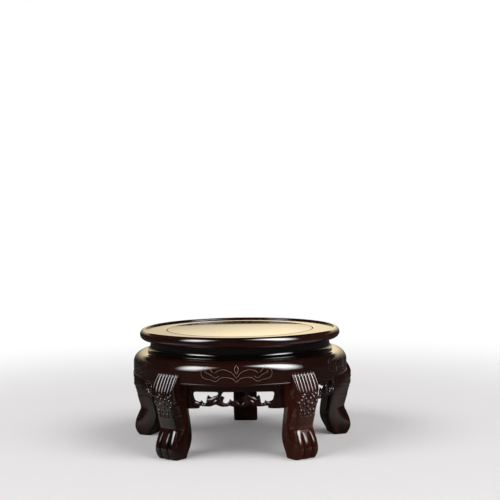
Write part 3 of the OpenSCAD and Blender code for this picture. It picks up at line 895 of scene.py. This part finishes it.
class STAND_OT_inner_wood(bpy.types.Operator):
    """Plain finish of the brace and the loose splines, which keep the solids' own shapes"""
    bl_idname = "stand.inner_wood"
    bl_label = "Brace and splines"

    def execute(self, context):
        finish = context.scene.stand_finish
        planed = planed_wood("rosewood_planed", finish.inner_light, finish.inner_dark)
        for name in ("panel_brace", "frame_splines", "apron_splines"):
            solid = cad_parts[name]
            solid.data.materials.clear()
            solid.data.materials.append(planed)
        return {"FINISHED"}


# ---- stage

# Softboxes, read from the highlights on the rim and the shoulder: turn and rise in degrees, and height; where the
# cloth starts to glow, is full and stops, up from its middle; power, and glow in the polish
SOFTBOXES = {"left": (-55, 42, 1.6, (-2.6, -0.1, 0.27, 1.6), 85.0, 17.5),
             "right": (59, 48, 2.5, (-3.4, 0.3, 0.9, 2.8), 103.0, 25.0)}
SOFTBOX_W, SOFTBOX_REACH, SOFTBOX_AIM = 2.8, 4.0, 0.1
# Half the cloth's width, and the share of it that glows in full
CLOTH_HALF, CLOTH_FULL = 0.48 * SOFTBOX_W, 0.12
# The wall behind: angles up between which it brightens and between which it stops, and its brightness
WALL_RISE, WALL_STOP, WALL_LIGHT = np.radians((-16, 16)), np.radians((25, 18)), 3.75
# Patches of the floor that the polish sees pale amid painted shade, and how far from one its pale lasts and has
# gone
PATCHES, PATCH_REACH = ((-0.21, -0.10, 0), (0.275, -0.09, 0)), (0.03, 0.2)
FLOOR_R = 4.0
SMOOTH = {"interpolation_type": "SMOOTHSTEP"}


class STAND_OT_stage(bpy.types.Operator):
    """Camera, pale floor, two softboxes and the room around them"""
    bl_idname = "stand.stage"
    bl_label = "Stage"

    def execute(self, context):
        scene, finish = context.scene, context.scene.stand_finish
        scene.view_settings.view_transform = "Standard"
        camera = bpy.data.objects.new("camera", bpy.data.cameras.new("camera"))
        camera.data.sensor_width = 36
        camera.data.lens = 75.54
        camera.location = (0.07036, -1.3145, 0.28177)
        camera.rotation_euler = [math.radians(a) for a in (88.106, 0.8078, 2.4154)]
        scene.collection.objects.link(camera)
        scene.camera = camera
        for name, (turn, rise, high, fall, power, glow) in SOFTBOXES.items():
            light = bpy.data.lights.new(f"softbox_{name}", "AREA")
            light.shape, light.size, light.size_y, light.energy = "RECTANGLE", SOFTBOX_W, high, power
            box = bpy.data.objects.new(f"softbox_{name}", light)
            box.visible_glossy = False
            cloth = self.make_cloth(f"softbox_cloth_{name}", CLOTH_HALF, fall, glow)
            up, about = math.radians(rise), math.radians(turn)
            way = np.array([math.sin(about) * math.cos(up), -math.cos(about) * math.cos(up), math.sin(up)])
            for part in (box, cloth):
                part.location = way * SOFTBOX_REACH + (0, 0, SOFTBOX_AIM)
                part.rotation_euler = (math.pi / 2 - up, 0, about)
                scene.collection.objects.link(part)
        self.make_room(scene, finish)
        self.make_floor(scene, finish)
        return {"FINISHED"}

    def make_cloth(self, name, x, fall, glow):
        """A softbox's front as only the polish sees it, x half its width."""
        foot, low_full, top_full, head = fall
        mesh = bpy.data.meshes.new(name)
        mesh.from_pydata([(-x, foot, 0), (x, foot, 0), (x, head, 0), (-x, head, 0)], [], [(0, 1, 2, 3)])
        material, tree = new_material(name)
        parts = add(tree, "SeparateXYZ", {0: add(tree, "TexCoord").outputs["Object"]})
        off = add(tree, "Math", {0: parts.outputs["X"]}, operation="ABSOLUTE")
        level = add(tree, "MapRange", {"Value": off, "From Min": CLOTH_FULL * x, "From Max": x,
                                       "To Min": glow, "To Max": 0.0}, **SMOOTH)
        for dark, full in ((foot, low_full), (head, top_full)):
            fade = add(tree, "MapRange", {"Value": parts.outputs["Y"], "From Min": dark, "From Max": full},
                       **SMOOTH)
            level = add(tree, "Math", {0: level, 1: fade}, operation="MULTIPLY")
        light = add(tree, "Emission", {"Strength": level})
        add(tree, "OutputMaterial", {"Surface": light})
        mesh.materials.append(material)
        cloth = bpy.data.objects.new(name, mesh)
        cloth.visible_camera = cloth.visible_diffuse = cloth.visible_shadow = False
        return cloth

    def make_room(self, scene, finish):
        """Pale walls that light the stand; the polish sees only a warm wall behind, the camera plain white."""
        world = scene.world or bpy.data.worlds.new("room")
        scene.world = world
        world.use_nodes = True
        tree = world.node_tree
        tree.nodes.clear()
        parts = add(tree, "SeparateXYZ", {0: add(tree, "TexCoord").outputs["Generated"]})
        aside = add(tree, "Math", {0: parts.outputs["X"]}, operation="ABSOLUTE")
        turn = add(tree, "Math", {0: aside, 1: parts.outputs["Y"]}, operation="ARCTAN2")
        rise = add(tree, "Math", {0: parts.outputs["Z"]}, operation="ARCSINE")
        # The wall behind is brightest straight behind and some way up, and stops under the ceiling
        place = add(tree, "Math", {0: turn, 1: -0.5, 2: rise}, operation="MULTIPLY_ADD")
        bright = add(tree, "MapRange", {"Value": place, "From Min": WALL_RISE[0], "From Max": WALL_RISE[1]})
        fading = add(tree, "Math", {0: bright, 1: 2.0}, operation="POWER")
        below = add(tree, "MapRange", {"Value": rise, "From Min": WALL_STOP[0], "From Max": WALL_STOP[1]},
                    **SMOOTH)
        wall = add(tree, "Math", {0: fading, 1: below}, operation="MULTIPLY")
        lit = tuple(WALL_LIGHT * c for c in finish.back_wall)
        polish = add(tree, "Mix", {"Factor": wall, "A": (*finish.dark_room_and_painted_shade, 1), "B": (*lit, 1)}, data_type="RGBA")
        # Light from the walls all round comes in low, so that it reaches under the stand
        glow = add(tree, "MapRange", {"Value": parts.outputs["Z"], "From Min": 0.5, "From Max": 0.1,
                                      "To Min": 0.05, "To Max": 3.4}, **SMOOTH)
        path = add(tree, "LightPath")
        room = add(tree, "Mix", {"Factor": path.outputs["Is Glossy Ray"], "A": glow, "B": polish},
                   data_type="RGBA")
        sky = add(tree, "Mix", {"Factor": path.outputs["Is Camera Ray"], "A": room, "B": (*finish.white, 1)},
                  data_type="RGBA")
        light = add(tree, "Background", {"Color": sky, "Strength": 1.0})
        add(tree, "OutputWorld", {"Surface": light})

    def make_floor(self, scene, finish):
        """Matt pale paper that fades into the white background; the polish sees it with painted shade and painted
        pale patches.
        """
        steps = 64
        mesh = bpy.data.meshes.new("floor")
        verts = around(FLOOR_R, np.arange(steps) * 2 * math.pi / steps, 0.0)
        mesh.from_pydata(verts.tolist(), [], [tuple(range(steps))])
        floor = bpy.data.objects.new("floor", mesh)
        scene.collection.objects.link(floor)
        material, tree = new_material("matt_paper")
        place = add(tree, "TexCoord").outputs["Object"]
        reach = add(tree, "VectorMath", {0: place}, operation="LENGTH")
        path = add(tree, "LightPath")
        # Paper tooth about 2 mm across
        tooth = add(tree, "TexNoise", {"Vector": place, "Scale": 500.0, "Detail": 2.0})
        bump = add(tree, "Bump", {"Height": tooth, "Strength": 0.1, "Distance": 0.0003})
        # Painted shade and painted reflection: only in the polish, the floor is drawn dark close under the stand
        # and far off, with two pale patches
        near, gone = PATCH_REACH
        faded = []
        for patch in PATCHES:
            away = add(tree, "VectorMath", {0: place, 1: patch}, operation="DISTANCE")
            faded.append(add(tree, "MapRange", {"Value": away, "From Min": near, "From Max": gone,
                                                "To Min": 0.3, "To Max": 0.96}, **SMOOTH))
        painted_dim_far = add(tree, "Math", dict(enumerate(faded)), operation="MINIMUM")
        # Painted shade under the stand, seen only in the polish
        under = add(tree, "MapRange", {"Value": reach, "From Min": 0.17, "From Max": 0.13, "To Max": 0.85},
                    **SMOOTH)
        painted_dark = add(tree, "Math", {0: painted_dim_far, 1: under}, operation="MAXIMUM")
        painted_shade_in_polish = add(tree, "Math", {0: painted_dark, 1: path.outputs["Is Glossy Ray"]}, operation="MULTIPLY")
        tone = add(tree, "Mix", {"Factor": painted_shade_in_polish, "A": (*finish.floor, 1), "B": (*finish.dark_room_and_painted_shade, 1)},
                   data_type="RGBA")
        paper = add(tree, "BsdfDiffuse", {"Color": tone, "Normal": bump})
        white = add(tree, "Emission", {"Color": (*finish.white, 1), "Strength": 1.0})
        far = add(tree, "MapRange", {"Value": reach, "From Min": 0.35, "From Max": 1.1}, **SMOOTH)
        fade = add(tree, "Math", {0: far, 1: path.outputs["Is Camera Ray"]}, operation="MULTIPLY")
        mixed = add(tree, "MixShader", {0: fade, 1: paper, 2: white})
        add(tree, "OutputMaterial", {"Surface": mixed})
        mesh.materials.append(material)


class STAND_PT_panel(bpy.types.Panel):
    """The stand's pieces, sizes and finish"""
    bl_idname = "STAND_PT_panel"
    bl_label = "Round hardwood stand"
    bl_space_type = "VIEW_3D"
    bl_region_type = "UI"
    bl_category = "Stand"

    def draw(self, context):
        for step in STEPS:
            self.layout.operator(step.bl_idname)
        for group in (context.scene.stand_sizes, context.scene.stand_finish):
            column = self.layout.column(align=True)
            for name in group.__annotations__:
                column.prop(group, name)


STEPS = (STAND_OT_stage, STAND_OT_top_frame, STAND_OT_top_panel, STAND_OT_waist, STAND_OT_apron,
         STAND_OT_apron_lines, STAND_OT_legs, STAND_OT_spandrels, STAND_OT_inner_wood)
GROUPS = (StandSizes, StandFinish)


def register():
    for cls in (*GROUPS, *STEPS, STAND_PT_panel):
        bpy.utils.register_class(cls)
    bpy.types.Scene.stand_sizes = bpy.props.PointerProperty(type=StandSizes)
    bpy.types.Scene.stand_finish = bpy.props.PointerProperty(type=StandFinish)


def unregister():
    del bpy.types.Scene.stand_finish
    del bpy.types.Scene.stand_sizes
    for cls in reversed((*GROUPS, *STEPS, STAND_PT_panel)):
        bpy.utils.unregister_class(cls)


def main():
    register()
    for step in STEPS:
        group, name = step.bl_idname.split(".")
        getattr(getattr(bpy.ops, group), name)()
    bpy.context.view_layer.update()


if __name__ == "__main__":
    main()
